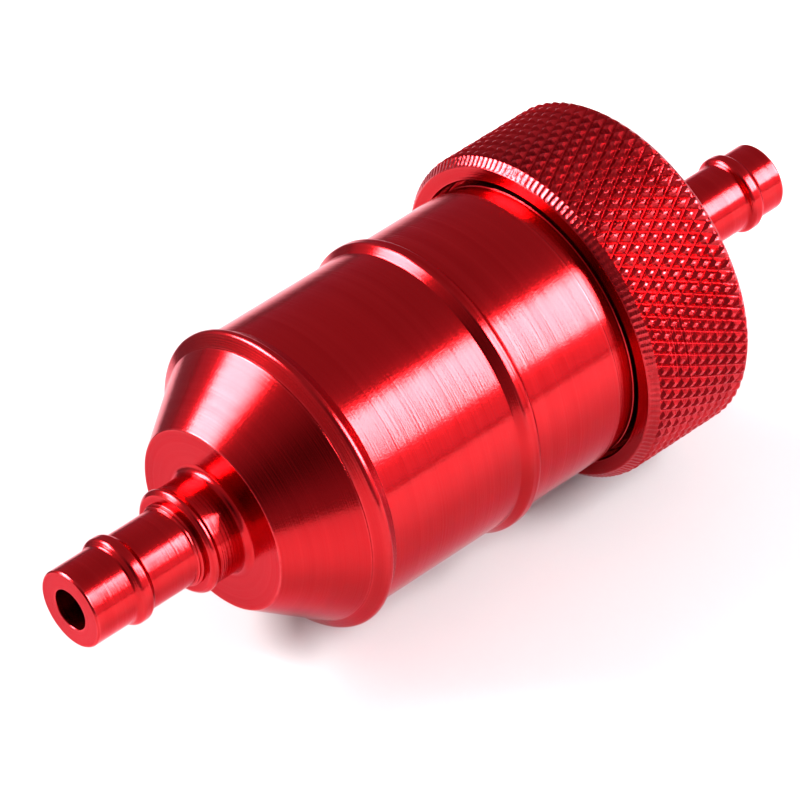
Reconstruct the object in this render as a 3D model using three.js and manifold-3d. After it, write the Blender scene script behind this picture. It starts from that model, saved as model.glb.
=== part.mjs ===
// Inline fuel filter: a turned aluminium bowl with a screw-on knurled cap, a hose nipple at
// each end, and a spring-loaded sintered bronze thimble inside.
//
// Millimetres. The filter's axis is X and fuel runs towards +X; +Z is up. Places along the
// axis are written as stations, counted from the inlet tip, and the whole group is then
// moved back by half the length, so that the origin is the middle of the filter.

import * as THREE from "three";
import { mergeVertices } from "three/addons/utils/BufferGeometryUtils.js";
import Module from "manifold-3d";

const wasm = await Module();
wasm.setup();

// ---- driving dimensions ----

const LENGTH = 82; // nipple tip to nipple tip
const KNURL_R = 16; // over the knurl's points
const BODY_R = 13.6; // plain tube of the bowl
const BOWL_BORE_R = 11; // inside of the bowl and of its threaded neck

const CONE_FACE = 15.9; // station of the flat face at the small end of the cone
const CONE_FACE_R = 8.7;
const CONE_END = 22.3; // the cone meets the front ridge here
const CONE_END_R = 13.2;
const FRONT_RIDGE = { from: 22.3, to: 24.2, crestR: 14.38 };
const MID_RIDGE = { from: 39.3, to: 41.5, crestR: 14.24 };
const BODY_END = 51.3; // the tube steps down here, just ahead of the cap
const BAND_R = 13.4;
const BAND_END = 53.6;
const NECK_R = 12;
const NECK_END = 62;
const BOWL_FLOOR = 18.6; // inside face that the spring stands on
const BOWL_FLOOR_R = 8.2;

const COLLAR_R = 4.95; // both collars that hold a nipple
const COLLAR_LENGTH = 4.2;
const COLLAR_FOOT = 0.75; // fillet between a collar and the face behind it

const CAP_FRONT = 53;
const CAP_BACK = 64.9;
const CAP_WALL = 62.4; // inside of the cap's end wall
const CAP_MOUTH_R = 14.3;
const KNURL = { from: 53.85, to: 64.35, count: 40, rows: 8, depth: 0.38 };

const PITCH = 1.5; // M26 x 1.5, right-handed
const THREAD_MAJOR_R = 13;
const THREAD_MINOR_R = 12.08;
const THREAD_CLEARANCE = 0.15; // radial, between the neck's thread and the cap's
const THREAD = { from: 54.4, to: 61.9 };

const INLET = {
  tipR: 3.45,
  tubeR: 3.66,
  boreR: 1.92,
  spigotR: 3,
  bead: { at: 5.3, half: 1, height: 0.5 }, // counted from the tip
};
const OUTLET = {
  tipR: 3.05,
  tubeR: 3.27,
  boreR: 1.75,
  spigotR: 2.7,
  bead: { at: 3.6, half: 1, height: 0.48 },
};
const TIP_CHAMFER = 0.25;
const SPIGOT_LENGTH = 6.3;
const PRESS_GAP = 0.03; // kept between a pressed spigot and its bore

const ELEMENT = { closedEnd: 36, openEnd: 60.85, closedR: 7.9, openR: 8.3, wall: 1.7, floor: 2 };
const ELEMENT_BOSS = { radius: 6.2, height: 1 };
const FLANGE = { radius: 10.4, thickness: 2 };
const GASKET = { from: 60.85, to: 62.35, innerR: 6.9, outerR: 10.2 };
const O_RING = { ringR: 12.2, sectionR: 0.68 };
const O_RING_GROOVE = { innerR: 11.4, outerR: 13, depth: 1 };
const SPRING = { coilR: 7, wireR: 0.45, turns: 7, endGap: 0.05, flatten: 0.6 };

const SEGMENTS = { body: 40, nipple: 28, element: 28, thread: 32, ring: 32 };
const SPRING_STEPS_PER_TURN = 12;

// ---- looks ----

const redAnodised = { color: 0xc4101c, roughness: 0.22, metalness: 1 };
const bronze = { color: 0xb08d4f, roughness: 0.75, metalness: 0.6 };
const stainless = { color: 0xc9ccd0, roughness: 0.3, metalness: 1 };
const nitrile = { color: 0x17181a, roughness: 0.6, metalness: 0 };

// ---- from geometry to solids and back ----

/** A closed BufferGeometry as a manifold solid. */
function toSolid(geometry) {
  const bare = geometry.clone();
  bare.deleteAttribute("normal");
  bare.deleteAttribute("uv");
  const merged = mergeVertices(bare, 1e-5);
  return new wasm.Manifold(
    new wasm.Mesh({
      numProp: 3,
      vertProperties: new Float32Array(merged.attributes.position.array),
      triVerts: new Uint32Array(merged.index.array),
    }),
  );
}

/** A manifold solid as a BufferGeometry. */
function toGeometry(solid) {
  const { vertProperties, triVerts } = solid.getMesh();
  const geometry = new THREE.BufferGeometry();
  geometry.setAttribute("position", new THREE.BufferAttribute(vertProperties, 3));
  geometry.setIndex(new THREE.BufferAttribute(triVerts, 1));
  geometry.computeVertexNormals();
  return geometry;
}

/** Turns a closed outline of (station, radius) points about the X axis. */
function turned(outline, segments) {
  const points = outline.map(([station, radius]) => new THREE.Vector2(radius, station));
  if (THREE.ShapeUtils.area(points) < 0) points.reverse();
  points.push(points[0].clone());
  return new THREE.LatheGeometry(points, segments).rotateZ(-Math.PI / 2);
}

/**
 * A closed skin round the X axis, from a grid of columns and rows. at(column, row) gives
 * [station, radius], and points beyond the last row are used where a helical skin, climbing
 * `climb` rows in a turn, joins itself. alternate(column, row) picks a cell's diagonal.
 */
function wrapped(columns, rows, at, { climb = 0, alternate = () => false } = {}) {
  const height = rows + 1 + climb;
  const positions = [];
  for (let column = 0; column < columns; column++) {
    const angle = (2 * Math.PI * column) / columns;
    for (let row = 0; row < height; row++) {
      const [station, radius] = at(column, row);
      positions.push(station, radius * Math.cos(angle), radius * Math.sin(angle));
    }
  }
  const vertex = (column, row) => (column === columns ? row + climb : column * height + row);
  const triangles = [];
  for (let column = 0; column < columns; column++) {
    for (let row = 0; row < rows; row++) {
      const a = vertex(column, row);
      const b = vertex(column + 1, row);
      const c = vertex(column + 1, row + 1);
      const d = vertex(column, row + 1);
      if (alternate(column, row)) triangles.push(a, b, d, b, c, d);
      else triangles.push(a, b, c, a, c, d);
    }
  }
  for (const [row, low] of [[0, true], [rows, false]]) {
    const rim = [];
    for (let column = 0; column <= columns; column++) rim.push(vertex(column, row));
    for (let step = climb - 1; step > 0; step--) rim.push(vertex(0, row + step));
    if (climb === 0) rim.pop();
    const centre = positions.length / 3;
    positions.push(at(0, row + climb / 2)[0], 0, 0);
    rim.forEach((point, index) => {
      const next = rim[(index + 1) % rim.length];
      if (low) triangles.push(centre, next, point);
      else triangles.push(centre, point, next);
    });
  }
  const geometry = new THREE.BufferGeometry();
  geometry.setAttribute("position", new THREE.Float32BufferAttribute(positions, 3));
  geometry.setIndex(triangles);
  return geometry;
}

function part(name, geometry, look) {
  const mesh = new THREE.Mesh(geometry, new THREE.MeshStandardMaterial(look));
  mesh.name = name;
  return mesh;
}

// ---- outlines, as (station, radius) points ----

/** A round ridge on a surface of radius baseR, between two stations. */
function ridge(from, to, baseR, crestR, steps = 5) {
  const points = [];
  for (let step = 0; step <= steps; step++) {
    const angle = (Math.PI * step) / steps;
    points.push([
      (from + to) / 2 - ((to - from) / 2) * Math.cos(angle),
      baseR + (crestR - baseR) * Math.sin(angle),
    ]);
  }
  return points;
}

/** A collar standing off a face, from its fillet to its rounded end; facing is -1 or +1. */
function collar(face, facing) {
  const along = (distance) => face + facing * distance;
  const foot = [];
  for (const angle of [0, 30, 60, 90].map(THREE.MathUtils.degToRad)) {
    foot.push([
      along(COLLAR_FOOT * (1 - Math.cos(angle))),
      COLLAR_R + COLLAR_FOOT * (1 - Math.sin(angle)),
    ]);
  }
  return [
    ...foot,
    [along(COLLAR_LENGTH - 1.3), COLLAR_R],
    [along(COLLAR_LENGTH - 0.4), COLLAR_R - 0.08],
    [along(COLLAR_LENGTH), COLLAR_R - 0.5],
  ];
}

// ---- thread ----

/** A right-handed 60 degree thread, cut to a ring-shaped envelope outline. */
function thread(minorR, majorR, envelope) {
  const flank = (THREAD_MAJOR_R - THREAD_MINOR_R) * Math.tan(Math.PI / 6);
  const crest = PITCH / 8;
  const root = PITCH - crest - 2 * flank;
  const profile = [
    [0, minorR],
    [root, minorR],
    [root + flank, majorR],
    [root + flank + crest, majorR],
  ];
  const firstTurn = Math.floor(THREAD.from / PITCH) - 1;
  const turns = Math.ceil(THREAD.to / PITCH) - firstTurn;
  const at = (column, row) => {
    const turn = firstTurn + Math.floor(row / profile.length) + column / SEGMENTS.thread;
    const [offset, radius] = profile[row % profile.length];
    return [turn * PITCH + offset, radius];
  };
  const rod = wrapped(SEGMENTS.thread, turns * profile.length, at, { climb: profile.length });
  return toSolid(rod).intersect(toSolid(turned(envelope, SEGMENTS.thread)));
}

// ---- pieces ----

function bodyShell() {
  const outside = [
    ...collar(CONE_FACE, -1).reverse(),
    [CONE_FACE, CONE_FACE_R],
    [CONE_END, CONE_END_R],
    ...ridge(FRONT_RIDGE.from, FRONT_RIDGE.to, BODY_R, FRONT_RIDGE.crestR),
    ...ridge(MID_RIDGE.from, MID_RIDGE.to, BODY_R, MID_RIDGE.crestR),
    [BODY_END - 0.2, BODY_R],
    [BODY_END, BAND_R],
    [BAND_END, BAND_R],
    [BAND_END, NECK_R],
    [NECK_END, NECK_R],
  ];
  const inside = [
    [NECK_END, BOWL_BORE_R],
    [BOWL_FLOOR + 5.4, BOWL_BORE_R],
    [BOWL_FLOOR, BOWL_FLOOR_R],
    [BOWL_FLOOR, INLET.spigotR + PRESS_GAP],
    [CONE_FACE - COLLAR_LENGTH, INLET.spigotR + PRESS_GAP],
  ];
  const neckThread = thread(THREAD_MINOR_R, THREAD_MAJOR_R, [
    [THREAD.from, NECK_R - 0.4],
    [THREAD.from, NECK_R + 0.2],
    [THREAD.from + 0.7, THREAD_MAJOR_R + 0.2],
    [THREAD.to - 0.7, THREAD_MAJOR_R + 0.2],
    [THREAD.to, NECK_R + 0.3],
    [THREAD.to, NECK_R - 0.4],
  ]);
  return toGeometry(toSolid(turned([...outside, ...inside], SEGMENTS.body)).add(neckThread));
}

/** The outside of the cap: chamfered ends and a band of crossed grooves that leave diamonds. */
function knurledBlank() {
  const spacing = (KNURL.to - KNURL.from) / KNURL.rows;
  const front = [[CAP_FRONT, KNURL_R - 0.8]];
  const back = [[CAP_BACK, KNURL_R - 0.45]];
  const rows = front.length + KNURL.rows + back.length;
  const at = (column, row) => {
    const knurlRow = row - front.length;
    if (knurlRow < 0) return front[row];
    if (knurlRow > KNURL.rows) return back[knurlRow - KNURL.rows - 1];
    const isPoint = (column + knurlRow) % 2 === 0;
    return [KNURL.from + knurlRow * spacing, isPoint ? KNURL_R : KNURL_R - KNURL.depth];
  };
  const alternate = (column, row) => (column + row) % 2 === 1;
  return wrapped(2 * KNURL.count, rows, at, { alternate });
}

function knurledCap() {
  const hollow = [
    [CAP_FRONT - 1, 0],
    [CAP_FRONT - 1, CAP_MOUTH_R + 0.43],
    [CAP_FRONT, CAP_MOUTH_R + 0.43],
    [CAP_FRONT + 0.4, CAP_MOUTH_R],
    [THREAD.from + 0.4, CAP_MOUTH_R],
    [THREAD.from + 0.4, THREAD_MAJOR_R + 0.3],
    [THREAD.from + 1.2, THREAD_MINOR_R + 0.22],
    [CAP_WALL - 1.2, THREAD_MINOR_R + 0.22],
    [CAP_WALL - 1.2, THREAD_MAJOR_R + 0.3],
    [CAP_WALL, THREAD_MAJOR_R + 0.3],
    [CAP_WALL, O_RING_GROOVE.outerR],
    [CAP_WALL + O_RING_GROOVE.depth, O_RING_GROOVE.outerR],
    [CAP_WALL + O_RING_GROOVE.depth, O_RING_GROOVE.innerR],
    [CAP_WALL, O_RING_GROOVE.innerR],
    [CAP_WALL, 0],
  ];
  const boss = [
    [CAP_BACK - 1, 0],
    [CAP_BACK - 1, COLLAR_R + COLLAR_FOOT],
    ...collar(CAP_BACK, 1),
    [CAP_BACK + COLLAR_LENGTH, 0],
  ];
  const bore = [
    [CAP_WALL - 1, 0],
    [CAP_WALL - 1, OUTLET.spigotR + PRESS_GAP],
    [CAP_BACK + COLLAR_LENGTH + 1, OUTLET.spigotR + PRESS_GAP],
    [CAP_BACK + COLLAR_LENGTH + 1, 0],
  ];
  const minorR = THREAD_MINOR_R + THREAD_CLEARANCE;
  const threadCut = thread(minorR, THREAD_MAJOR_R + THREAD_CLEARANCE, [
    [THREAD.from, THREAD_MINOR_R],
    [THREAD.from, THREAD_MAJOR_R + 0.5],
    [CAP_WALL - 0.8, THREAD_MAJOR_R + 0.5],
    [CAP_WALL - 0.8, THREAD_MINOR_R],
  ]);
  const blank = toSolid(knurledBlank()).add(toSolid(turned(boss, SEGMENTS.nipple)));
  return toGeometry(
    blank
      .subtract(toSolid(turned(hollow, SEGMENTS.body)))
      .subtract(threadCut)
      .subtract(toSolid(turned(bore, SEGMENTS.nipple))),
  );
}

/** A hose nipple from its tip inwards: along(distance) gives the station. */
function nipple(size, shoulder, along) {
  const { tipR, tubeR, boreR, spigotR, bead } = size;
  return turned(
    [
      [0, boreR],
      [0, tipR],
      [TIP_CHAMFER, tubeR],
      ...ridge(bead.at - bead.half, bead.at + bead.half, tubeR, tubeR + bead.height),
      [shoulder - 0.3, tubeR],
      [shoulder, tubeR + 0.25],
      [shoulder, spigotR],
      [shoulder + SPIGOT_LENGTH, spigotR],
      [shoulder + SPIGOT_LENGTH, boreR],
    ].map(([distance, radius]) => [along(distance), radius]),
    SEGMENTS.nipple,
  );
}

const inletNipple = () => nipple(INLET, CONE_FACE - COLLAR_LENGTH, (distance) => distance);

const outletNipple = () =>
  nipple(OUTLET, LENGTH - CAP_BACK - COLLAR_LENGTH, (distance) => LENGTH - distance);

/** The bronze thimble: a boss for the spring, a slightly tapered wall and an open flanged end. */
function filterElement() {
  const { closedEnd, openEnd, closedR, openR, wall, floor } = ELEMENT;
  return turned(
    [
      [closedEnd - ELEMENT_BOSS.height, 0],
      [closedEnd - ELEMENT_BOSS.height, ELEMENT_BOSS.radius - 0.3],
      [closedEnd - ELEMENT_BOSS.height + 0.3, ELEMENT_BOSS.radius],
      [closedEnd, ELEMENT_BOSS.radius],
      [closedEnd, closedR - 0.3],
      [closedEnd + 0.3, closedR],
      [openEnd - FLANGE.thickness, openR],
      [openEnd - FLANGE.thickness, FLANGE.radius],
      [openEnd, FLANGE.radius],
      [openEnd, openR - wall],
      [closedEnd + floor, closedR - wall],
      [closedEnd + floor, 0],
    ],
    SEGMENTS.element,
  );
}

function elementGasket() {
  const { from, to, innerR, outerR } = GASKET;
  return turned([[from, innerR], [from, outerR], [to, outerR], [to, innerR]], SEGMENTS.element);
}

function capORing() {
  const centre = CAP_WALL + O_RING_GROOVE.depth - O_RING.sectionR - 0.01;
  const section = [];
  for (let corner = 0; corner < 8; corner++) {
    const angle = ((corner + 0.5) * Math.PI) / 4;
    section.push([
      centre + O_RING.sectionR * Math.cos(angle),
      O_RING.ringR + O_RING.sectionR * Math.sin(angle),
    ]);
  }
  return turned(section, SEGMENTS.ring);
}

/** The spring's centre line: its end coils lie closer together than its working coils. */
class SpringLine extends THREE.Curve {
  getPoint(t, target = new THREE.Vector3()) {
    const from = BOWL_FLOOR + SPRING.endGap + SPRING.wireR;
    const to = ELEMENT.closedEnd - SPRING.endGap - SPRING.wireR;
    const share = t - (SPRING.flatten * Math.sin(2 * Math.PI * t)) / (2 * Math.PI);
    const angle = 2 * Math.PI * SPRING.turns * t;
    return target.set(
      from + (to - from) * share,
      SPRING.coilR * Math.cos(angle),
      SPRING.coilR * Math.sin(angle),
    );
  }
}

function elementSpring() {
  const wire = new THREE.Shape().absarc(0, 0, SPRING.wireR, 0, 2 * Math.PI);
  return new THREE.ExtrudeGeometry(wire, {
    curveSegments: 3,
    steps: SPRING.turns * SPRING_STEPS_PER_TURN,
    extrudePath: new SpringLine(),
  });
}

// ---- the filter ----

const filter = new THREE.Group();
filter.name = "fuel_filter";
filter.position.x = -LENGTH / 2;
filter.add(
  part("body_shell", bodyShell(), redAnodised),
  part("inlet_nipple", inletNipple(), redAnodised),
  part("knurled_cap", knurledCap(), redAnodised),
  part("outlet_nipple", outletNipple(), redAnodised),
  part("cap_o_ring", capORing(), nitrile),
  part("filter_element", filterElement(), bronze),
  part("element_gasket", elementGasket(), nitrile),
  part("element_spring", elementSpring(), stainless),
);

export default filter;
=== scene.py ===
import math

import bpy
import numpy as np
from mathutils import Matrix, Vector


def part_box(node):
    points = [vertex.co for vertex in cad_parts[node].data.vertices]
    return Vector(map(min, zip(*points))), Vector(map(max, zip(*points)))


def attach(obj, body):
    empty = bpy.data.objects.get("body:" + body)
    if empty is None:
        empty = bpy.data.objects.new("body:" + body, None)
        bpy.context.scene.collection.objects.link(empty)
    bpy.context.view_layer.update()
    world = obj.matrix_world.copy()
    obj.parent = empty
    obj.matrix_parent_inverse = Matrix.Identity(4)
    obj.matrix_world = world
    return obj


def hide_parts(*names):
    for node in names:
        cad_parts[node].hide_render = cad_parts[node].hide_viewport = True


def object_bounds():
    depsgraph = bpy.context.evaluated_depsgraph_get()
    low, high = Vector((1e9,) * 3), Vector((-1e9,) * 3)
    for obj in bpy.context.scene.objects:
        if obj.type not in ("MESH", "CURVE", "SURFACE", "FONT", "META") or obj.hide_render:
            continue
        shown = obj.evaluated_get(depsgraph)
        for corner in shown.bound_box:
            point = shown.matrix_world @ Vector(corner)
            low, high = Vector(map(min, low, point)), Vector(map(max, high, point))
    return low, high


# Looks of an inline fuel filter: a turned, red anodised bowl and knurled screw cap with a hose
# nipple at each end, and the bronze thimble, spring and seals inside. Outlines are written in
# millimetres as (station, radius), with stations counted along X from the inlet tip, and the
# meshes are made in metres in the frame of the CAD parts.

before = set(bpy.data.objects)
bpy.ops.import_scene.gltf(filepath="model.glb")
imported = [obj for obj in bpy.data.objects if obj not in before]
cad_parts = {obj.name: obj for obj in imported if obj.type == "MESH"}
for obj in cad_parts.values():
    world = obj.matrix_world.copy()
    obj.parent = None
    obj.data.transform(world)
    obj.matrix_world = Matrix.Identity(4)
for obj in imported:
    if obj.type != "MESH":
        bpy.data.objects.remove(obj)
cad_low, cad_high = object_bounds()

MM = 0.001
TURN = 2 * math.pi


# ---- sizes from the frame, in millimetres ----

def size_of(node):
    """First station, last station and largest radius of a CAD node."""
    low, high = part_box(node)
    return (low.x - cad_low.x) / MM, (high.x - cad_low.x) / MM, high.z / MM


LENGTH = (cad_high.x - cad_low.x) / MM
COLLAR_FACE, NECK_END, RIDGE_CREST_R = size_of("body_shell")
CAP_FRONT, BOSS_END, KNURL_R = size_of("knurled_cap")
INLET_END, INLET_BEAD_R = size_of("inlet_nipple")[1:]
OUTLET_START, _, OUTLET_BEAD_R = size_of("outlet_nipple")
ELEMENT_START, ELEMENT_END, FLANGE_R = size_of("filter_element")
GASKET_START, GASKET_END, GASKET_R = size_of("element_gasket")
RING_START, RING_END, _ = size_of("cap_o_ring")
SPRING_START, SPRING_END, _ = size_of("element_spring")

# ---- driving dimensions, in millimetres ----

# The bowl. A ridge's pair is where it starts and ends; the front one's is its crest.
COLLAR_LENGTH = 4.2
COLLAR_R = 4.95
COLLAR_LIP = 0.62
COLLAR_NECK_R = 4.74
COLLAR_FOOT = 0.7
CONE_FACE = COLLAR_FACE + COLLAR_LENGTH
CONE_FACE_R = 8.7
CONE_SLOPE = 0.703
BODY_R = 13.6
CONE_LINE = 22.25
FRONT_RIDGE = (23.1, 23.55)
FRONT_RIDGE_END = 24.65
MID_RIDGE = (39.3, 41.5)
MID_RIDGE_R = 14.24
MID_RIDGE_FLANKS = (0.8, 0.5)
BAND_START = 51.15
BAND_R = 13.4
BAND_LINE = 52.75
BAND_END = 54.5
SCRIBE_DEPTH = 0.08
NECK_R = 12.0
BOWL_BORE_R = 11.0
BOWL_FLOOR = 18.6
BOWL_FLOOR_R = 8.2
BOWL_TAPER_END = 24.0

# The nipples. A bead's pair and BEAD_FOOT are distances from the nipple's own tip.
INLET_TUBE_R = 3.66
INLET_BORE_R = 1.92
INLET_SPIGOT_R = 3.0
INLET_BEAD = (4.3, 6.3)
OUTLET_TUBE_R = 3.27
OUTLET_BORE_R = 1.75
OUTLET_SPIGOT_R = 2.7
OUTLET_BEAD = (2.6, 4.6)
BEAD_FLANK = 0.42
BEAD_FOOT = 0.1
SHOULDER_STEP = 0.14
SPIGOT_GAP = 0.03

# The cap. Its knurl has KNURL_COUNT grooves each way, and KNURL_PERIOD is their pitch along X.
CAP_BACK = BOSS_END - COLLAR_LENGTH
CAP_WALL = 62.4
CAP_MOUTH_R = 13.8
CAP_BEVEL = 0.25
CAP_LIP_R = 13.95
CAP_RELIEF = 1.2
CAP_SHOULDER_GAP = 0.3
BOSS_ROUNDING = 0.9
CAP_NOSE_R = 15.2
CAP_TAIL_R = 15.55
KNURL_START = 53.85
KNURL_END = 64.35
KNURL_DEPTH = 0.38
KNURL_COUNT = 80
KNURL_PERIOD = 2.19
KNURL_STEPS = 12
KNURL_RUN_OUT = 1.6
GROOVE_HALF_WIDTH = 0.36
GROOVE_BOTTOM = 0.9  # share of a groove's depth at which it is cut off blunt
NOTCH_DEPTH = 0.09

# The thread between neck and cap.
THREAD_PITCH = 1.5
THREAD_MAJOR_R = 13.0
THREAD_MINOR_R = 12.08
THREAD_CLEARANCE = 0.15
THREAD_START = 54.8
THREAD_END = 61.9
THREAD_FADE = 0.7

# The O-ring's groove in the cap: its inner and outer radius.
RING_GROOVE = (11.4, 13.0)
RING_GROOVE_DEPTH = 1.0
RING_CENTRE_R = 12.2

# The bronze thimble and its gasket.
ELEMENT_WALL = 1.7
ELEMENT_FLOOR = 2.0
ELEMENT_CLOSED_R = 7.9
ELEMENT_OPEN_R = 8.3
ELEMENT_FLANGE = 2.0
ELEMENT_BOSS = 1.0
ELEMENT_BOSS_R = 6.2
GASKET_BORE_R = 6.9

# The spring.
SPRING_TURNS = 7
SPRING_COIL_R = 7.0
SPRING_WIRE_R = 0.45
SPRING_CLOSING = 0.6  # how far the end turns close up, from 0 for even turns

# How finely the meshes are divided.
COLUMNS = 240
SMALL_COLUMNS = 160
NIPPLE_COLUMNS = 128
ARC_STEP = 14  # degrees between the rings of a fillet
SUPPORT = 0.12  # distance from a fillet to the ring that keeps its flat side flat
WORN_RADIUS = 0.12  # corners sharper than this wear through


# ---- skins: closed meshes made of rings round the X axis ----

def rounded(outline, closed=True):
    """Rounds the corners of an outline of (station, radius, fillet) points.

    The outline runs clockwise with the radius upwards, so that the outside is on its left.
    Returns one (station, radius, outward normal, wear) for each point of the rounded outline.
    An open outline keeps its two ends as they are.
    """
    points = [np.array(p[:2], float) for p in outline]
    area = sum(a[0] * b[1] - b[0] * a[1] for a, b in zip(points, points[1:] + points[:1]))
    if area > 0:
        outline, points = outline[::-1], points[::-1]
    count = len(points)
    ways = [points[(i + 1) % count] - points[i] for i in range(count)]
    spans = [np.linalg.norm(way) for way in ways]
    ways = [way / span for way, span in zip(ways, spans)]
    turns, backs = [], []
    for i in range(count):
        way_in, way_out = ways[i - 1], ways[i]
        turn = math.atan2(way_in[0] * way_out[1] - way_in[1] * way_out[0], way_in @ way_out)
        ended = not closed and i in (0, count - 1)
        fillet = outline[i][2] if len(outline[i]) > 2 and not ended else 0.0
        turns.append(0.0 if ended else turn)
        backs.append(fillet * math.tan(abs(turn) / 2))
    fits = []
    for i in range(count):
        needed = max(backs[i] + backs[(i + 1) % count], 1e-9)
        fits.append(min(1.0, 0.96 * spans[i] / needed))
    backs = [back * min(fits[i - 1], fits[i]) for i, back in enumerate(backs)]
    made = []
    for i, corner in enumerate(points):
        way_in, way_out, turn, back = ways[i - 1], ways[i], turns[i], backs[i]
        normal_in = np.array([-way_in[1], way_in[0]])
        if abs(turn) < 1e-6:
            way = way_out if i == 0 else way_in
            made.append((*corner, np.array([-way[1], way[0]]), 0.0))
            continue
        radius = back / math.tan(abs(turn) / 2)
        start = corner - way_in * back
        centre = start - normal_in * radius * (-1 if turn > 0 else 1)
        steps = max(2, math.ceil(abs(math.degrees(turn)) / ARC_STEP))
        wear = min(1.0, WORN_RADIUS / max(radius, 0.05)) if turn < 0 else 0.0
        support = min(SUPPORT, (spans[i - 1] - back - backs[i - 1]) * 0.3)
        if support > 0.01:
            made.append((*(start - way_in * support), normal_in, 0.0))
        for step in range(steps + 1):
            angle = turn * step / steps
            normal = np.array(
                [
                    normal_in[0] * math.cos(angle) - normal_in[1] * math.sin(angle),
                    normal_in[0] * math.sin(angle) + normal_in[1] * math.cos(angle),
                ]
            )
            place = centre + normal * radius * (-1 if turn > 0 else 1)
            made.append((*place, normal, wear))
        support = min(SUPPORT, (spans[i] - back - backs[(i + 1) % count]) * 0.3)
        if support > 0.01:
            made.append((*(corner + way_out * (back + support)), normal, 0.0))
    return made


def lathe_rings(outline, columns=COLUMNS, closed=True):
    """The rings of an outline turned about the axis."""
    rings = []
    for station, radius, normal, wear in rounded(outline, closed):
        rings.append(
            {
                "x": np.full(columns, station),
                "r": np.full(columns, radius),
                "normal": (normal[0], normal[1], 0.0),
                "wear": np.full(columns, wear),
            }
        )
    return rings


def relief_rings(stations, columns, radius_at, wear_at=None, smooth=True):
    """The rings of a surface whose radius changes round the axis as well as along it."""
    angles = np.arange(columns) * TURN / columns
    rings = []
    for station in stations:
        radius = radius_at(station, angles)
        wear = wear_at(station, angles) if wear_at else np.zeros(columns)
        ring = {"x": np.full(columns, station), "r": radius, "normal": None, "wear": wear}
        if smooth:
            nudge = 0.01
            rise = radius_at(station + nudge, angles) - radius_at(station - nudge, angles)
            along = rise / (2 * nudge)
            ahead = radius_at(station, angles + nudge / radius)
            behind = radius_at(station, angles - nudge / radius)
            ring["normal"] = (-along, np.ones(columns), -(ahead - behind) / (2 * nudge))
        rings.append(ring)
    return rings


def ring_points(ring):
    """A ring's vertices and outward normals, in metres and in the frame."""
    columns = len(ring["x"])
    angles = np.arange(columns) * TURN / columns
    cos, sin = np.cos(angles), np.sin(angles)
    points = np.column_stack([ring["x"] * MM + cad_low.x, ring["r"] * MM * cos, ring["r"] * MM * sin])
    if ring["normal"] is None:
        return points, None
    along, out, around = ring["normal"]
    normals = np.column_stack([along + 0 * cos, out * cos - around * sin, out * sin + around * cos])
    return points, normals / np.linalg.norm(normals, axis=1)[:, None]


class Skin:
    """Collects the vertices, faces and corner normals of one closed mesh."""

    def __init__(self):
        self.points, self.wear, self.normals = [], [], []
        self.faces, self.looks = [], []
        self.count = 0

    def add_ring(self, ring):
        points, normals = ring_points(ring)
        self.points.append(points)
        self.normals.append(np.full_like(points, np.nan) if normals is None else normals)
        self.wear.append(ring["wear"])
        first = self.count
        self.count += len(points)
        return first, len(points)

    def add_faces(self, faces, look):
        self.faces.extend(faces)
        self.looks.extend([look] * len(faces))

    def join(self, a, b, look, heights=None):
        """Faces between two rings; one may have a whole number of times as many columns.

        heights, if given, picks the diagonal that splits each quad into two triangles.
        """
        (first_a, count_a), (first_b, count_b) = a, b
        if count_a == count_b:
            here = np.arange(count_a)
            there = (here + 1) % count_a
            quads = np.column_stack([first_a + here, first_a + there, first_b + there, first_b + here])
            if heights is None:
                self.add_faces(quads.tolist(), look)
                return
            one_way = quads[:, [0, 1, 2, 0, 2, 3]]
            other_way = quads[:, [0, 1, 3, 1, 2, 3]]
            split = np.where(heights(quads)[:, None], one_way, other_way)
            self.add_faces(split.reshape(-1, 3).tolist(), look)
            return
        fine, coarse = ((first_a, count_a), (first_b, count_b)) if count_a > count_b else (b, a)
        ratio = fine[1] // coarse[1]
        for column in range(coarse[1]):
            near = [fine[0] + (column * ratio + step) % fine[1] for step in range(ratio + 1)]
            far = [coarse[0] + (column + 1) % coarse[1], coarse[0] + column]
            face = near + far
            self.add_faces([face if count_a > count_b else face[::-1]], look)

    def build(self, name, materials):
        points = np.concatenate(self.points)
        normals = np.concatenate(self.normals)
        mesh = bpy.data.meshes.new(name)
        mesh.from_pydata(points, [], self.faces)
        mesh.polygons.foreach_set("material_index", self.looks)
        mesh.polygons.foreach_set("use_smooth", [True] * len(self.faces))
        for material in materials:
            mesh.materials.append(material)
        wear = mesh.attributes.new("wear", "FLOAT", "POINT")
        wear.data.foreach_set("value", np.concatenate(self.wear).astype(np.float32))
        mesh.update()
        corner_vertex = np.zeros(len(mesh.loops), int)
        mesh.loops.foreach_get("vertex_index", corner_vertex)
        totals = np.zeros(len(mesh.polygons), int)
        mesh.polygons.foreach_get("loop_total", totals)
        flat = np.zeros(len(mesh.polygons) * 3)
        mesh.polygons.foreach_get("normal", flat)
        face_normals = np.repeat(flat.reshape(-1, 3), totals, axis=0)
        corner_normals = normals[corner_vertex]
        face_of_corner = np.repeat(np.arange(len(totals)), totals)
        creased = np.isnan(corner_normals[:, 0]).astype(float)
        any_creased = np.bincount(face_of_corner, creased, len(totals))[face_of_corner] > 0
        corner_normals = np.where(any_creased[:, None], face_normals, corner_normals)
        mesh.normals_split_custom_set(corner_normals.tolist())
        piece = bpy.data.objects.new(name, mesh)
        bpy.context.scene.collection.objects.link(piece)
        return piece


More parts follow.
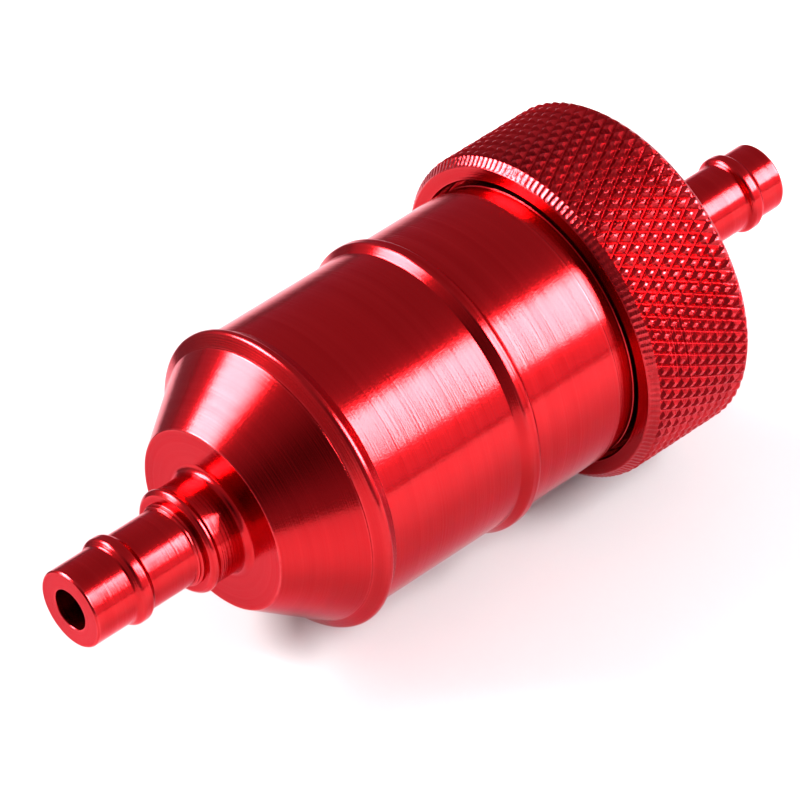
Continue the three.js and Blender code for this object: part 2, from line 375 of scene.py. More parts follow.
def skin_of(name, rings, materials, look_of=None, heights=None, closed=True):
    """A skin through rings in order; the last joins the first, or both ends get a flat disc."""
    skin = Skin()
    placed = [skin.add_ring(ring) for ring in rings]
    if not closed:
        for (first, count), order in ((placed[0], -1), (placed[-1], 1)):
            skin.add_faces([list(range(first, first + count))[::order]], 0)
    for i, here in enumerate(placed):
        after = (i + 1) % len(placed)
        if after == 0 and not closed:
            break
        look = look_of(rings[i], rings[after]) if look_of else 0
        creased = rings[i]["normal"] is None and rings[after]["normal"] is None
        skin.join(here, placed[after], look, heights(skin) if creased and heights else None)
    return skin.build(name, materials)


# ---- materials ----

class Shader:
    """A small helper for building a material's nodes."""

    def __init__(self, name):
        self.material = bpy.data.materials.new(name)
        self.material.use_nodes = True
        self.tree = self.material.node_tree
        self.surface = self.tree.nodes["Principled BSDF"]
        place = self.add("ShaderNodeTexCoord").outputs["Object"]
        self.place = place
        axes = self.add("ShaderNodeSeparateXYZ", Vector=place)
        flat = self.add("ShaderNodeCombineXYZ", Y=axes.outputs["Y"], Z=axes.outputs["Z"])
        out = self.vector("LENGTH", flat.outputs["Vector"])
        self.lathe = self.math("ADD", axes.outputs["X"], out)
        self.wear = self.add("ShaderNodeAttribute", attribute_name="wear").outputs["Fac"]

    def add(self, kind, _inputs=None, **values):
        """A node; names that are sockets set or link them, and others are settings."""
        node = self.tree.nodes.new(kind)
        for key, value in values.items():
            if hasattr(node, key) and key.islower():
                setattr(node, key, value)
        for key, value in list(values.items()) + list((_inputs or {}).items()):
            if isinstance(key, int) or key in node.inputs:
                self.set(node.inputs[key], value)
        return node

    def set(self, socket, value):
        if isinstance(value, bpy.types.NodeSocket):
            self.tree.links.new(value, socket)
        else:
            socket.default_value = value

    def math(self, operation, a, b=0.0):
        return self.add("ShaderNodeMath", {0: a, 1: b}, operation=operation).outputs["Value"]

    def vector(self, operation, a, b=(0, 0, 0)):
        node = self.add("ShaderNodeVectorMath", {0: a, 1: b}, operation=operation)
        return node.outputs["Value" if operation in ("LENGTH", "DOT_PRODUCT") else "Vector"]

    def noise(self, scale, detail=2.0, roughness=0.5):
        """Cloudy noise in space; scale is in features per metre."""
        node = self.add(
            "ShaderNodeTexNoise",
            Vector=self.place,
            Scale=scale,
            Detail=detail,
            Roughness=roughness,
        )
        return node.outputs["Fac"]

    def rings(self, scale, detail=2.0, roughness=0.5):
        """Noise that changes only along the outline, as lathe tool marks do."""
        node = self.add(
            "ShaderNodeTexNoise",
            noise_dimensions="1D",
            W=self.lathe,
            Scale=scale,
            Detail=detail,
            Roughness=roughness,
        )
        return node.outputs["Fac"]

    def remap(self, value, low, high, to_low=0.0, to_high=1.0):
        node = self.add(
            "ShaderNodeMapRange",
            {"Value": value, "From Min": low, "From Max": high, "To Min": to_low, "To Max": to_high},
        )
        return node.outputs["Result"]

    def mix(self, factor, a, b):
        node = self.add("ShaderNodeMix", data_type="RGBA")
        self.set(node.inputs["Factor"], factor)
        self.set(node.inputs["A"], a)
        self.set(node.inputs["B"], b)
        return node.outputs["Result"]

    def bump(self, height, distance, strength=1.0, after=None):
        node = self.add("ShaderNodeBump", Strength=strength, Distance=distance, Height=height)
        if after is not None:
            self.set(node.inputs["Normal"], after)
        return node.outputs["Normal"]

    def finish(self, **inputs):
        """Sets the surface's sockets and returns the material."""
        for key, value in inputs.items():
            self.set(self.surface.inputs[key.replace("_", " ").title()], value)
        return self.material


# Colours of the metal, not of the film over it. EDGE_RED tints what it reflects at grazing angles.
ANODISED_RED = (0.465, 0.0075, 0.0108, 1)
ANODISED_DEEP = (0.410, 0.0058, 0.0088, 1)
# The knurl's colours are darker than the turned surfaces' as painted shade of its grooves.
KNURL_SHADED_RED = (0.44, 0.0075, 0.0125, 1)
KNURL_SHADED_DEEP = (0.30, 0.0045, 0.0080, 1)
EDGE_RED = (1.0, 0.5, 0.56, 1)
WORN_RED = (0.66, 0.055, 0.065, 1)
BRONZE_PALE = (0.62, 0.43, 0.19, 1)
BRONZE_DEEP = (0.42, 0.27, 0.10, 1)
BRONZE_PORE = (0.10, 0.06, 0.025, 1)
NITRILE_PALE = (0.030, 0.030, 0.031, 1)
NITRILE_DEEP = (0.010, 0.010, 0.011, 1)
STEEL_PALE = (0.70, 0.70, 0.71, 1)
STEEL_DEEP = (0.55, 0.55, 0.56, 1)

# Sizes of the surface patterns, in features per metre.
TOOL_MARKS = 5200
BROAD_MARKS = 900
DYE_CLOUDS = 90
SMALL_DENTS = 4500
WORN_PATCHES = 1500
BRONZE_GRAINS = 6500


def red_anodised(
    name, dyes, marks, dents, roughness=0.165, wear=0.5, film=0.23, film_roughness=0.07
):
    """Bright turned aluminium under a dyed clear film.

    dyes are the palest and deepest colour, marks and dents the depths in metres of the tool marks
    and of small uneven spots, and film how strongly the clear film reflects.
    """
    shader = Shader(name)
    fine = shader.rings(TOOL_MARKS, detail=2.0, roughness=0.6)
    broad = shader.rings(BROAD_MARKS, detail=2.0)
    cloud = shader.noise(DYE_CLOUDS, detail=3.0)
    grain = shader.noise(SMALL_DENTS, detail=2.0)
    clouded = shader.math("MULTIPLY", cloud, 0.6)
    shade = shader.math("ADD", clouded, shader.math("MULTIPLY", broad, 0.4))
    dyed = shader.mix(shader.remap(shade, 0.35, 0.65), dyes[1], dyes[0])
    patchy = shader.remap(shader.noise(WORN_PATCHES, detail=3.0), 0.35, 0.6, 0.2, wear)
    colour = shader.mix(shader.math("MULTIPLY", shader.wear, patchy), dyed, WORN_RED)
    marked = shader.remap(fine, 0.3, 0.7, -0.035, 0.045)
    rough = shader.math("ADD", marked, shader.remap(cloud, 0.3, 0.7, 0, 0.03))
    streaks = shader.remap(fine, 0.3, 0.7, 0.70, 1.20)
    streaks = shader.math("MULTIPLY", streaks, shader.remap(broad, 0.3, 0.7, 0.85, 1.10))
    turned = shader.bump(shader.math("ADD", fine, shader.math("MULTIPLY", broad, 0.8)), marks)
    normal = shader.bump(grain, dents, after=turned)
    tangent = shader.add("ShaderNodeTangent", direction_type="RADIAL", axis="X").outputs["Tangent"]
    return shader.finish(
        base_color=colour,
        metallic=1.0,
        specular_tint=EDGE_RED,
        roughness=shader.math("ADD", rough, roughness),
        normal=normal,
        tangent=tangent,
        anisotropic=0.4,
        anisotropic_rotation=0.25,
        coat_weight=shader.math("MULTIPLY", streaks, film),
        coat_roughness=film_roughness,
        coat_normal=normal,
    )


def sintered_bronze():
    shader = Shader("sintered_bronze")
    grains = shader.add("ShaderNodeTexVoronoi", Vector=shader.place, Scale=BRONZE_GRAINS)
    balls = grains.outputs["Distance"]
    cloud = shader.noise(400, detail=4.0)
    bright = shader.mix(shader.remap(cloud, 0.3, 0.7), BRONZE_DEEP, BRONZE_PALE)
    return shader.finish(
        base_color=shader.mix(shader.remap(balls, 0.35, 0.75), bright, BRONZE_PORE),
        metallic=0.9,
        roughness=shader.remap(cloud, 0.3, 0.7, 0.42, 0.62),
        normal=shader.bump(balls, -6e-5),
    )


def black_nitrile():
    shader = Shader("black_nitrile")
    cloud = shader.noise(700, detail=4.0)
    bloom = shader.noise(5000, detail=2.0)
    return shader.finish(
        base_color=shader.mix(shader.remap(cloud, 0.35, 0.7), NITRILE_DEEP, NITRILE_PALE),
        roughness=shader.remap(cloud, 0.3, 0.7, 0.38, 0.58),
        normal=shader.bump(bloom, 4e-6),
    )


def spring_steel():
    shader = Shader("stainless_spring_wire")
    drawn = shader.noise(9000, detail=3.0, roughness=0.7)
    cloud = shader.noise(500, detail=2.0)
    return shader.finish(
        base_color=shader.mix(shader.remap(cloud, 0.35, 0.65), STEEL_DEEP, STEEL_PALE),
        metallic=1.0,
        roughness=shader.remap(drawn, 0.3, 0.7, 0.18, 0.32),
        normal=shader.bump(drawn, 1.5e-6),
    )


TURNED = red_anodised(
    "red_anodised_turned",
    (ANODISED_RED, ANODISED_DEEP),
    marks=1.3e-5,
    dents=6.5e-6,
)
# Its darker dyes paint the shade of the knurl's grooves.
KNURLED = red_anodised(
    "red_anodised_knurled",
    (KNURL_SHADED_RED, KNURL_SHADED_DEEP),
    marks=3e-7,
    dents=3e-5,
    roughness=0.21,
    wear=0.7,
    film=0.28,
    film_roughness=0.12,
)
BRONZE = sintered_bronze()
NITRILE = black_nitrile()
STAINLESS = spring_steel()


# ---- threads ----

def thread_profile(turns):
    """Height of a 60 degree thread, from 0 at its root to 1 at its crest, over turns of helix."""
    depth = THREAD_MAJOR_R - THREAD_MINOR_R
    flank = depth * math.tan(math.radians(30)) / THREAD_PITCH
    crest = 1 / 8
    middle = 1 - flank - crest / 2
    away = np.abs((turns - middle + 0.5) % 1 - 0.5)
    return np.clip((crest / 2 + flank - away) / flank, 0, 1)


def thread_radius(station, angles, clearance=0.0):
    """Radius of the thread at each angle; clearance widens it for the cap's thread."""
    turns = station / THREAD_PITCH - angles / TURN
    depth = THREAD_MAJOR_R - THREAD_MINOR_R
    return THREAD_MINOR_R + clearance + depth * thread_profile(turns)


def thread_stations(start, end):
    return np.arange(start, end + 1e-6, THREAD_PITCH / 12)


def fade(station, start, end, run):
    """1 between start and end, falling to 0 over a run at each end."""
    return float(np.clip(min(station - start, end - station) / run, 0, 1))


# ---- the bowl ----

def scribed_line(start, radius):
    """Outline points of a fine groove cut round a plain surface."""
    floor_r = radius - SCRIBE_DEPTH
    return [
        (start, radius, 0.03),
        (start + 0.06, floor_r, 0.03),
        (start + 0.16, floor_r, 0.03),
        (start + 0.22, radius, 0.03),
    ]


def bowl():
    """The bowl: collar, cone, two ridges, stepped band, threaded neck and stepped bore."""

    def neck_radius(station, angles):
        full = thread_radius(station, angles)
        return NECK_R + (full - NECK_R) * fade(station, THREAD_START, THREAD_END, THREAD_FADE)

    hole_r = INLET_SPIGOT_R + SPIGOT_GAP
    line_r = CONE_FACE_R + CONE_SLOPE * (CONE_LINE - CONE_FACE)
    before_thread = [
        (COLLAR_FACE, hole_r, 0.08),
        (COLLAR_FACE, COLLAR_R - 0.35, 0.3),
        (COLLAR_FACE + 0.35, COLLAR_R, 0.35),
        (COLLAR_FACE + COLLAR_LIP, COLLAR_R, 0.25),
        (COLLAR_FACE + COLLAR_LIP + 0.33, COLLAR_NECK_R, 0.4),
        (CONE_FACE, COLLAR_NECK_R, COLLAR_FOOT),
        (CONE_FACE, CONE_FACE_R, 0.12),
        (CONE_LINE, line_r, 0.03),
        (CONE_LINE + 0.06, line_r - 0.05, 0.03),
        (CONE_LINE + 0.12, line_r + 0.06, 0.05),
        (FRONT_RIDGE[0], RIDGE_CREST_R + 0.03, 0.45),
        (FRONT_RIDGE[1], RIDGE_CREST_R, 0.25),
        (FRONT_RIDGE_END, BODY_R, 0.12),
        (MID_RIDGE[0], BODY_R, 0.3),
        (MID_RIDGE[0] + MID_RIDGE_FLANKS[0], MID_RIDGE_R, 0.5),
        (MID_RIDGE[1] - MID_RIDGE_FLANKS[1], MID_RIDGE_R, 0.5),
        (MID_RIDGE[1], BODY_R, 0.12),
        (BAND_START, BODY_R, 0.06),
        (BAND_START + 0.15, BAND_R, 0.05),
        *scribed_line(BAND_LINE, BAND_R),
        (BAND_END, BAND_R, 0.15),
        (BAND_END, NECK_R, 0.1),
    ]
    after_thread = [
        (NECK_END, NECK_R, 0.1),
        (NECK_END, BOWL_BORE_R, 0.15),
        (BOWL_TAPER_END, BOWL_BORE_R, 0.5),
        (BOWL_FLOOR, BOWL_FLOOR_R, 0.4),
        (BOWL_FLOOR, hole_r, 0.08),
    ]
    turned = lathe_rings(before_thread + after_thread)
    past_start = [ring["x"][0] > THREAD_START - 0.1 and ring["r"][0] > NECK_R - 0.1 for ring in turned]
    split = past_start.index(True)
    stations = thread_stations(THREAD_START - 0.15, THREAD_END + 0.02)
    threaded = relief_rings(stations, COLUMNS, neck_radius)
    rings = turned[:split] + threaded + turned[split:]
    return skin_of("bowl", rings, [TURNED])


# ---- the knurled cap ----

def groove_depth(phase):
    """Depth of one set of grooves: straight flanks, with a slightly blunt bottom."""
    away = np.abs((phase + 0.5) % 1 - 0.5)
    flank = np.clip(1 - away / GROOVE_HALF_WIDTH, 0, 1)
    return np.minimum(flank, GROOVE_BOTTOM) / GROOVE_BOTTOM * KNURL_DEPTH


def cap_envelope(station):
    """Radius of the cap before knurling, with its chamfered ends."""
    stations = [CAP_FRONT, KNURL_START, KNURL_END, CAP_BACK]
    radii = [CAP_NOSE_R, KNURL_R, KNURL_R, CAP_TAIL_R]
    return float(np.interp(station, stations, radii))


def knurl_phases(station, angles):
    """Phases of the two sets of grooves, which run straight over the front chamfer."""
    around = angles * KNURL_COUNT / TURN
    along = max(0.0, station - KNURL_START) / KNURL_PERIOD + 0.25
    return around + along, around - along


def knurled_radius(station, angles):
    """Radius of the knurled outside; the grooves get shallower towards the back."""
    rising, falling = knurl_phases(station, angles)
    easing = np.interp(station, [KNURL_END - KNURL_RUN_OUT, KNURL_END], [1.0, 0.62])
    depth = np.maximum(groove_depth(rising), groove_depth(falling))
    if station < KNURL_START:
        notch = NOTCH_DEPTH * np.interp(station, [CAP_FRONT, CAP_FRONT + 0.2], [0.0, 1.0])
        return cap_envelope(station) - notch * depth / KNURL_DEPTH
    return np.minimum(cap_envelope(station), KNURL_R - depth * easing)


def knurl_wear(station, angles):
    """How far the colour has worn off: most on the points of the diamonds."""
    below = cap_envelope(station) - knurled_radius(station, angles)
    return np.clip(1 - below / (0.35 * KNURL_DEPTH), 0, 1) * 0.6


def knurl_stations():
    """Stations of the cap's rings, close enough to cut every diamond cleanly."""
    step = KNURL_PERIOD / KNURL_STEPS
    front = np.linspace(CAP_FRONT + 0.04, KNURL_START, 12, endpoint=False)
    middle = np.arange(KNURL_START, KNURL_END, step)
    back = np.linspace(KNURL_END, CAP_BACK - 0.03, 6)
    return np.concatenate([front, middle, back])


def follows_crease(skin):
    """Says which diagonal of each knurl cell lies nearer the creases."""

    def across(quads):
        points = np.concatenate(skin.points)
        corners = points[quads]
        middle = corners.mean(axis=1)
        station = (middle[:, 0] - cad_low.x) / MM
        angle = np.arctan2(middle[:, 2], middle[:, 1])
        want = knurled_radius(float(station[0]), angle)
        radii = np.hypot(corners[:, :, 1], corners[:, :, 2]) / MM
        first = np.abs((radii[:, 0] + radii[:, 2]) / 2 - want)
        second = np.abs((radii[:, 1] + radii[:, 3]) / 2 - want)
        return first <= second

    return across


def screw_cap():
    """The cap: knurled rim, boss, end wall with its O-ring groove, and the female thread."""
    hole_r = OUTLET_SPIGOT_R + SPIGOT_GAP
    shoulder_r = THREAD_MAJOR_R + CAP_SHOULDER_GAP
    relief = CAP_WALL - CAP_RELIEF
    columns = KNURL_COUNT * KNURL_STEPS

    def inner_radius(station, angles):
        plain = THREAD_MINOR_R + 0.22
        full = thread_radius(station, angles, THREAD_CLEARANCE)
        return np.maximum(plain, full)

    outline = [
        (CAP_FRONT, CAP_LIP_R, 0.05),
        (CAP_FRONT, CAP_NOSE_R, 0.05),
        (CAP_BACK, CAP_TAIL_R, 0.05),
        (CAP_BACK, COLLAR_R, COLLAR_FOOT),
        (BOSS_END - BOSS_ROUNDING, COLLAR_R, 0.3),
        (BOSS_END - 0.1, COLLAR_R - 0.2, 0.3),
        (BOSS_END, COLLAR_R - 0.6, 0.2),
        (BOSS_END, hole_r, 0.08),
        (CAP_WALL, hole_r, 0.1),
        (CAP_WALL, RING_GROOVE[0], 0.06),
        (CAP_WALL + RING_GROOVE_DEPTH, RING_GROOVE[0], 0.15),
        (CAP_WALL + RING_GROOVE_DEPTH, RING_GROOVE[1], 0.15),
        (CAP_WALL, RING_GROOVE[1], 0.06),
        (CAP_WALL, shoulder_r, 0.15),
        (relief, shoulder_r, 0.1),
        (BAND_END + 0.5, shoulder_r, 0.1),
        (BAND_END + 0.5, CAP_MOUTH_R, 0.1),
        (CAP_FRONT + CAP_BEVEL, CAP_MOUTH_R, 0.1),
    ]
    turned = lathe_rings(outline)
    places = [(ring["x"][0], ring["r"][0]) for ring in turned]
    to_knurl = [r > CAP_NOSE_R + 0.001 for _, r in places].index(True)
    from_knurl = [x > CAP_BACK - 0.001 for x, _ in places].index(True)
    at_relief = [x < relief + 0.3 and abs(r - shoulder_r) < 0.01 for x, r in places]
    to_thread = at_relief.index(True, from_knurl + 1)
    knurled = relief_rings(knurl_stations(), columns, knurled_radius, knurl_wear, smooth=False)
    threaded = relief_rings(thread_stations(THREAD_START + 0.8, relief)[::-1], COLUMNS, inner_radius)
    for ring in threaded:
        along, out, around = ring["normal"]
        ring["normal"] = (-along, -out, -around)
    rings = turned[:to_knurl] + knurled + turned[from_knurl:to_thread] + threaded + turned[to_thread:]

    def look_of(a, b):
        return 1 if a["normal"] is None and b["normal"] is None else 0

    return skin_of("screw_cap", rings, [TURNED, KNURLED], look_of, follows_crease)


# ---- the nipples ----

def nipple(name, sizes, shoulder, spigot_end, along):
    """A hose nipple; along() turns a distance from its tip into a station."""
    tube_r, bore_r, spigot_r, bead_r, bead = sizes
    bead_start = bead[0] + BEAD_FOOT
    bead_end = bead[1] - BEAD_FOOT
    outline = [
        (0, bore_r, 0.1),
        (0, tube_r - 0.12, 0.04),
        (0.16, tube_r, 0.12),
        (bead_start, tube_r, 0.35),
        (bead_start + BEAD_FLANK, bead_r, 0.5),
        (bead_end - BEAD_FLANK, bead_r, 0.5),
        (bead_end, tube_r, 0.35),
        (shoulder - 0.68, tube_r, 0.1),
        (shoulder - 0.58, tube_r + SHOULDER_STEP, 0.1),
        (shoulder - 0.36, tube_r + SHOULDER_STEP, 0.06),
        (shoulder - 0.26, tube_r + 2 * SHOULDER_STEP, 0.1),
        (shoulder, tube_r + 2 * SHOULDER_STEP, 0.05),
        (shoulder, spigot_r, 0.1),
        (spigot_end, spigot_r, 0.25),
        (spigot_end, bore_r, 0.25),
    ]
    rings = lathe_rings([(along(d), r, fillet) for d, r, fillet in outline], NIPPLE_COLUMNS)
    return skin_of(name, rings, [TURNED])


def inlet_nipple():
    sizes = (INLET_TUBE_R, INLET_BORE_R, INLET_SPIGOT_R, INLET_BEAD_R, INLET_BEAD)
    return nipple("inlet_hose_nipple", sizes, COLLAR_FACE, INLET_END, lambda d: d)


def outlet_nipple():
    sizes = (OUTLET_TUBE_R, OUTLET_BORE_R, OUTLET_SPIGOT_R, OUTLET_BEAD_R, OUTLET_BEAD)
    shoulder, end = LENGTH - BOSS_END, LENGTH - OUTLET_START
    return nipple("outlet_hose_nipple", sizes, shoulder, end, lambda d: LENGTH - d)


# ---- inside ----

def bronze_element():
    """A thimble with its closed end towards the inlet and a flange at its mouth."""
    end = ELEMENT_START + ELEMENT_BOSS
    flange = ELEMENT_END - ELEMENT_FLANGE
    floor = end + ELEMENT_FLOOR
    disc_r = 3.0
    outline = [
        (ELEMENT_START, disc_r),
        (ELEMENT_START, ELEMENT_BOSS_R, 0.3),
        (end, ELEMENT_BOSS_R, 0.15),
        (end, ELEMENT_CLOSED_R, 0.5),
        (flange, ELEMENT_OPEN_R, 0.2),
        (flange, FLANGE_R, 0.25),
        (ELEMENT_END, FLANGE_R, 0.25),
        (ELEMENT_END, ELEMENT_OPEN_R - ELEMENT_WALL, 0.3),
        (floor, ELEMENT_CLOSED_R - ELEMENT_WALL, 0.8),
        (floor, disc_r),
    ]
    rings = lathe_rings(outline, SMALL_COLUMNS, closed=False)
    return skin_of("bronze_thimble", rings, [BRONZE], closed=False)


def gasket():
    outline = [
        (GASKET_START, GASKET_BORE_R, 0.2),
        (GASKET_START, GASKET_R, 0.3),
        (GASKET_END, GASKET_R, 0.3),
        (GASKET_END, GASKET_BORE_R, 0.2),
    ]
    return skin_of("flat_gasket", lathe_rings(outline, SMALL_COLUMNS), [NITRILE])


def o_ring():
    half = (RING_END - RING_START) / 2
    outline = [
        (RING_START, RING_CENTRE_R - half, half),
        (RING_START, RING_CENTRE_R + half, half),
        (RING_END, RING_CENTRE_R + half, half),
        (RING_END, RING_CENTRE_R - half, half),
    ]
    return skin_of("o_ring", lathe_rings(outline, SMALL_COLUMNS), [NITRILE])


def spring():
    """A round wire swept along a helix whose end turns lie closer together."""
    steps = SPRING_TURNS * 40
    sides = 14
    share = np.linspace(0, 1, steps + 1)
    angle = TURN * SPRING_TURNS * share
    start = SPRING_START + SPRING_WIRE_R
    travel = SPRING_END - SPRING_WIRE_R - start
    station = start + travel * (share - SPRING_CLOSING * np.sin(TURN * share) / TURN)
    across = SPRING_COIL_R * MM * np.cos(angle)
    upward = SPRING_COIL_R * MM * np.sin(angle)
    line = np.column_stack([station * MM + cad_low.x, across, upward])
    tangent = np.gradient(line, axis=0)
    tangent /= np.linalg.norm(tangent, axis=1)[:, None]
    out = np.column_stack([np.zeros(steps + 1), np.cos(angle), np.sin(angle)])
    side = np.cross(tangent, out)
    side /= np.linalg.norm(side, axis=1)[:, None]
    vertices, faces = [], []
    for k in range(steps + 1):
        for j in range(sides):
            a = TURN * j / sides
            spoke = math.cos(a) * out[k] + math.sin(a) * side[k]
            vertices.append(line[k] + SPRING_WIRE_R * MM * spoke)
    for here in range(0, steps * sides, sides):
        there = here + sides
        for j in range(sides):
            after = (j + 1) % sides
            faces.append([here + j, here + after, there + after, there + j])
    faces.append(list(range(sides))[::-1])
    faces.append([steps * sides + j for j in range(sides)])
    mesh = bpy.data.meshes.new("coil_spring")
    mesh.from_pydata(vertices, [], faces)
    mesh.polygons.foreach_set("use_smooth", [len(face) == 4 for face in faces])
    mesh.materials.append(STAINLESS)
    mesh.update()
    piece = bpy.data.objects.new("coil_spring", mesh)
    bpy.context.scene.collection.objects.link(piece)
    return piece


# Each piece's maker, body, CAD node that it stands for, and material slot.
PIECES = [
    (bowl, "housing", "body_shell", "red_anodised_aluminium"),
    (inlet_nipple, "housing", "inlet_nipple", "red_anodised_aluminium"),
    (screw_cap, "cap", "knurled_cap", "red_anodised_aluminium"),
    (outlet_nipple, "cap", "outlet_nipple", "red_anodised_aluminium"),
    (o_ring, "cap", "cap_o_ring", "black_nitrile"),
    (bronze_element, "element", "filter_element", "sintered_bronze"),
    (gasket, "element", "element_gasket", "black_nitrile"),
    (spring, "housing", "element_spring", "stainless_spring_wire"),
]
for make, body, node, slot in PIECES:
    piece = make()
    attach(piece, body)
    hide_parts(node)


# ---- floor ----

def resting_plane():
    """Point and upward normal of the plane under the cap's rim and the front ridge."""
    cap = Vector((KNURL_START * MM + cad_low.x, 0, -KNURL_R * MM))
    ridge = Vector((FRONT_RIDGE[0] * MM + cad_low.x, 0, -RIDGE_CREST_R * MM))
    along = (cap - ridge).normalized()
    return cap, Vector((-along.z, 0, along.x))


FLOOR_POINT, FLOOR_UP = resting_plane()
FLOOR_NORTH = Vector((0, 1, 0))
FLOOR_EAST = FLOOR_NORTH.cross(FLOOR_UP)

# The stage, in metres. The pool is a pool of light painted into the floor's colour, which is greyer
# outside it. The card is a dark card beside the filter that paints a dark reflection in it.
FLOOR_REACH = 2.0
FLOOR_WHITE = (0.46, 0.455, 0.46, 1)
FLOOR_PAINTED_DIM = (0.14, 0.139, 0.14, 1)
PAINTED_POOL_OFFSET = 0.12
PAINTED_POOL_EDGE = (0.15, 0.27)

CARD_NEAR = 0.043
CARD_FAR = 0.4
CARD_DEPTH = 0.5
CARD_HEIGHT = 0.0005
PAINTED_REFLECTION_COLOURS = ((0.02, 0.02, 0.02, 1), (0.04, 0.04, 0.04, 1))

# The camera: angles in degrees, distance and aim in metres, lens in millimetres.
CAMERA_AZIMUTH = -42.9
CAMERA_ELEVATION = 38.0
CAMERA_DISTANCE = 0.522
CAMERA_AIM = Vector((-0.0024, 0.0010, -0.0009))
CAMERA_LENS = 270.0


def floor_direction(azimuth, elevation):
    """Unit vector at an azimuth, 0 facing -Y and 90 facing +X, and a height above the floor."""
    a, e = math.radians(azimuth), math.radians(elevation)
    flat = FLOOR_EAST * math.sin(a) - FLOOR_NORTH * math.cos(a)
    return flat * math.cos(e) + FLOOR_UP * math.sin(e)


def flat_sheet(name, corners, material):
    """An object that is one flat, four-cornered face."""
    mesh = bpy.data.meshes.new(name)
    mesh.from_pydata(corners, [], [(0, 1, 2, 3)])
    mesh.materials.append(material)
    sheet = bpy.data.objects.new(name, mesh)
    bpy.context.scene.collection.objects.link(sheet)
    return sheet


def pale_floor():
    """A matt floor, white round the filter and painted greyer outside it, as a painted pool of light."""
    painted_pool_centre = FLOOR_POINT + floor_direction(CAMERA_AZIMUTH + 60, 0) * PAINTED_POOL_OFFSET
    corners = [
        FLOOR_POINT + FLOOR_EAST * east * FLOOR_REACH + FLOOR_NORTH * north * FLOOR_REACH
        for east, north in ((-1, -1), (1, -1), (1, 1), (-1, 1))
    ]
    shader = Shader("pale_floor")
    # Painted pool of light: the floor's colour turns grey with distance from the pool's centre.
    away = shader.vector("LENGTH", shader.vector("SUBTRACT", shader.place, painted_pool_centre))
    painted_dimming = shader.remap(away, *PAINTED_POOL_EDGE)
    colour = shader.mix(painted_dimming, FLOOR_WHITE, FLOOR_PAINTED_DIM)
    floor = flat_sheet("floor", corners, shader.finish(base_color=colour, roughness=0.7))


def painted_reflection_card():
    """A dark card on the floor left of the picture, seen only in the filter's reflections: a painted dark
    reflection.
    """
    left = floor_direction(CAMERA_AZIMUTH - 90, 0)
    away = floor_direction(CAMERA_AZIMUTH + 180, 0)
    drop = FLOOR_UP.dot(CAMERA_AIM - FLOOR_POINT)
    middle = CAMERA_AIM - FLOOR_UP * (drop - CARD_HEIGHT)
    corners = [
        middle + left * CARD_NEAR,
        middle + left * CARD_FAR,
        middle + left * CARD_FAR + away * CARD_DEPTH,
        middle + left * CARD_NEAR + away * CARD_DEPTH,
    ]
    shader = Shader("painted_reflection_card")
    colour = shader.mix(shader.noise(2000, detail=2.0), *PAINTED_REFLECTION_COLOURS)
    card = flat_sheet("painted_reflection_card", corners, shader.finish(base_color=colour, roughness=0.9))
    # Hidden from the camera, from light and from shadows, the card only paints a dark reflection in the
    # filter.
    card.visible_camera = False
    card.visible_diffuse = False
    card.visible_shadow = False


pale_floor()
painted_reflection_card()


# ---- camera and lights ----

SOFTBOX_DISTANCE = 0.6
SOFTBOX_RADIANCE = 40
OVERHEAD_RADIANCE = 0.6
# How far from a lamp's middle it begins and ends to fade, as shares of its width.
SOFT_EDGE = (0.37, 0.505)
ROOM_COLOUR = (1.0, 0.6, 0.7, 1)
ROOM_LEVEL = 0.48
ROOM_DARKEST = 0.03


def facing(direction):
    """A rotation whose -Z looks along direction, level with the floor."""
    back = -direction.normalized()
    right = FLOOR_UP.cross(back).normalized()
    up = back.cross(right)
    return Matrix((right, up, back)).transposed()


def add_camera():
    """The photo's point of view: a long lens looking down at the filter from its inlet end."""
    data = bpy.data.cameras.new("camera")
    data.lens = CAMERA_LENS
    data.sensor_width = 36.0
    camera = bpy.data.objects.new("camera", data)
    bpy.context.scene.collection.objects.link(camera)
    back = floor_direction(CAMERA_AZIMUTH, CAMERA_ELEVATION)
    camera.matrix_world = Matrix.Translation(CAMERA_AIM + back * CAMERA_DISTANCE) @ facing(-back).to_4x4()
    bpy.context.scene.camera = camera


def soften_edges(lamp_data):
    """Dims a lamp towards its edges, as a softbox's diffuser does."""
    lamp_data.use_nodes = True
    tree = lamp_data.node_tree
    place = tree.nodes.new("ShaderNodeNewGeometry").outputs["Parametric"]
    axes = tree.nodes.new("ShaderNodeSeparateXYZ")
    tree.links.new(place, axes.inputs["Vector"])
    strength = tree.nodes.new("ShaderNodeMath")
    strength.operation = "MULTIPLY"
    for i, axis in enumerate("XY"):
        off_centre = tree.nodes.new("ShaderNodeMath")
        off_centre.operation = "SUBTRACT"
        off_centre.inputs[1].default_value = 0.5
        tree.links.new(axes.outputs[axis], off_centre.inputs[0])
        away = tree.nodes.new("ShaderNodeMath")
        away.operation = "ABSOLUTE"
        tree.links.new(off_centre.outputs["Value"], away.inputs[0])
        edge = tree.nodes.new("ShaderNodeMapRange")
        edge.interpolation_type = "SMOOTHSTEP"
        edge.inputs["From Min"].default_value = SOFT_EDGE[1]
        edge.inputs["From Max"].default_value = SOFT_EDGE[0]
        tree.links.new(away.outputs["Value"], edge.inputs["Value"])
        tree.links.new(edge.outputs["Result"], strength.inputs[i])
    tree.links.new(strength.outputs["Value"], tree.nodes["Emission"].inputs["Strength"])


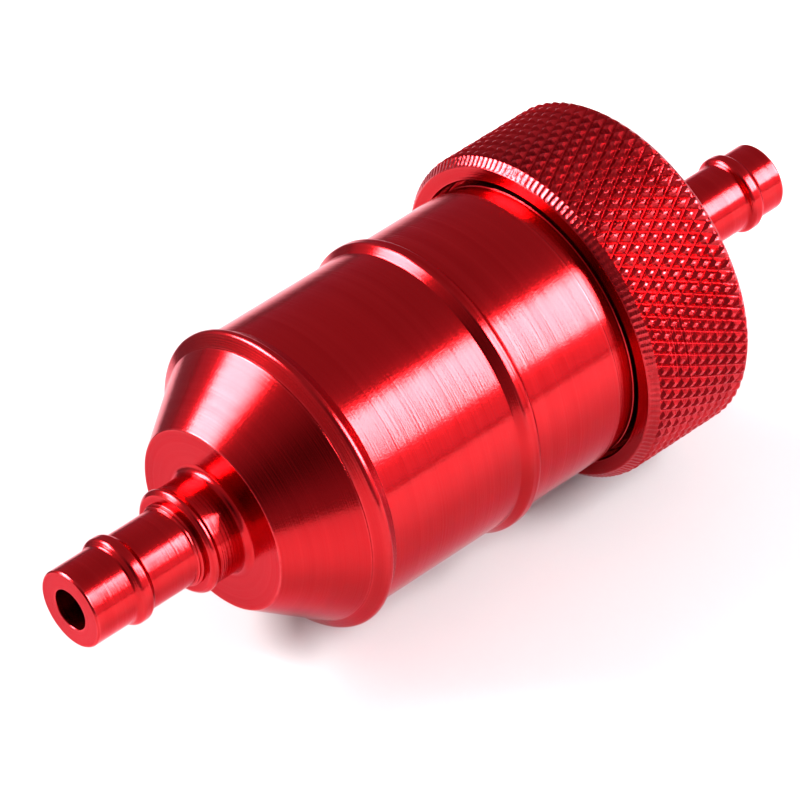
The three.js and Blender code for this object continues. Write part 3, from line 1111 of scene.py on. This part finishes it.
def softbox(name, azimuth, elevation, width, height, radiance):
    """A rectangular lamp that faces the filter; width and height are the angles it covers."""
    data = bpy.data.lights.new(name, "AREA")
    data.shape = "RECTANGLE"
    data.size = 2 * SOFTBOX_DISTANCE * math.tan(math.radians(width / 2))
    data.size_y = 2 * SOFTBOX_DISTANCE * math.tan(math.radians(height / 2))
    data.energy = radiance * math.pi * data.size * data.size_y
    soften_edges(data)
    lamp = bpy.data.objects.new(name, data)
    bpy.context.scene.collection.objects.link(lamp)
    out = floor_direction(azimuth, elevation)
    lamp.matrix_world = Matrix.Translation(out * SOFTBOX_DISTANCE) @ facing(-out).to_4x4()
    return lamp


def room():
    """Dim, even surroundings: lighter beside the softboxes and darker behind the camera."""
    world = bpy.data.worlds.new("room")
    world.use_nodes = True
    bpy.context.scene.world = world
    tree = world.node_tree
    background = tree.nodes["Background"]
    direction = tree.nodes.new("ShaderNodeTexCoord").outputs["Generated"]

    def math_node(operation, value, other):
        node = tree.nodes.new("ShaderNodeMath")
        node.operation = operation
        tree.links.new(value, node.inputs[0])
        if isinstance(other, bpy.types.NodeSocket):
            tree.links.new(other, node.inputs[1])
        else:
            node.inputs[1].default_value = other
        return node.outputs["Value"]

    def lobe(toward, sharpness, amount):
        """amount times how closely the direction points toward, raised to sharpness."""
        dot = tree.nodes.new("ShaderNodeVectorMath")
        dot.operation = "DOT_PRODUCT"
        tree.links.new(direction, dot.inputs[0])
        dot.inputs[1].default_value = toward
        ahead = math_node("MAXIMUM", dot.outputs["Value"], 0.0)
        return math_node("MULTIPLY", math_node("POWER", ahead, sharpness), amount)

    total = ROOM_LEVEL
    for part in (
        lobe(floor_direction(CAMERA_AZIMUTH + 90, 6), 5.0, 1.5),
        lobe(floor_direction(CAMERA_AZIMUTH - 100, 12), 5.0, 0.5),
        lobe(floor_direction(CAMERA_AZIMUTH, 42), 9.0, -0.46),
    ):
        total = math_node("ADD", part, total)
    background.inputs["Color"].default_value = ROOM_COLOUR
    strength = math_node("MAXIMUM", total, ROOM_DARKEST)
    tree.links.new(strength, background.inputs["Strength"])


add_camera()
softbox("softbox_right", CAMERA_AZIMUTH + 83.5, 35, 22, 36, SOFTBOX_RADIANCE)
softbox("softbox_left", CAMERA_AZIMUTH - 103.5, 33, 39, 28, SOFTBOX_RADIANCE)
overhead = softbox("overhead_sheet", CAMERA_AZIMUTH, 80, 140, 140, OVERHEAD_RADIANCE)
overhead.visible_glossy = False
room()
bpy.context.scene.view_settings.view_transform = "Standard"
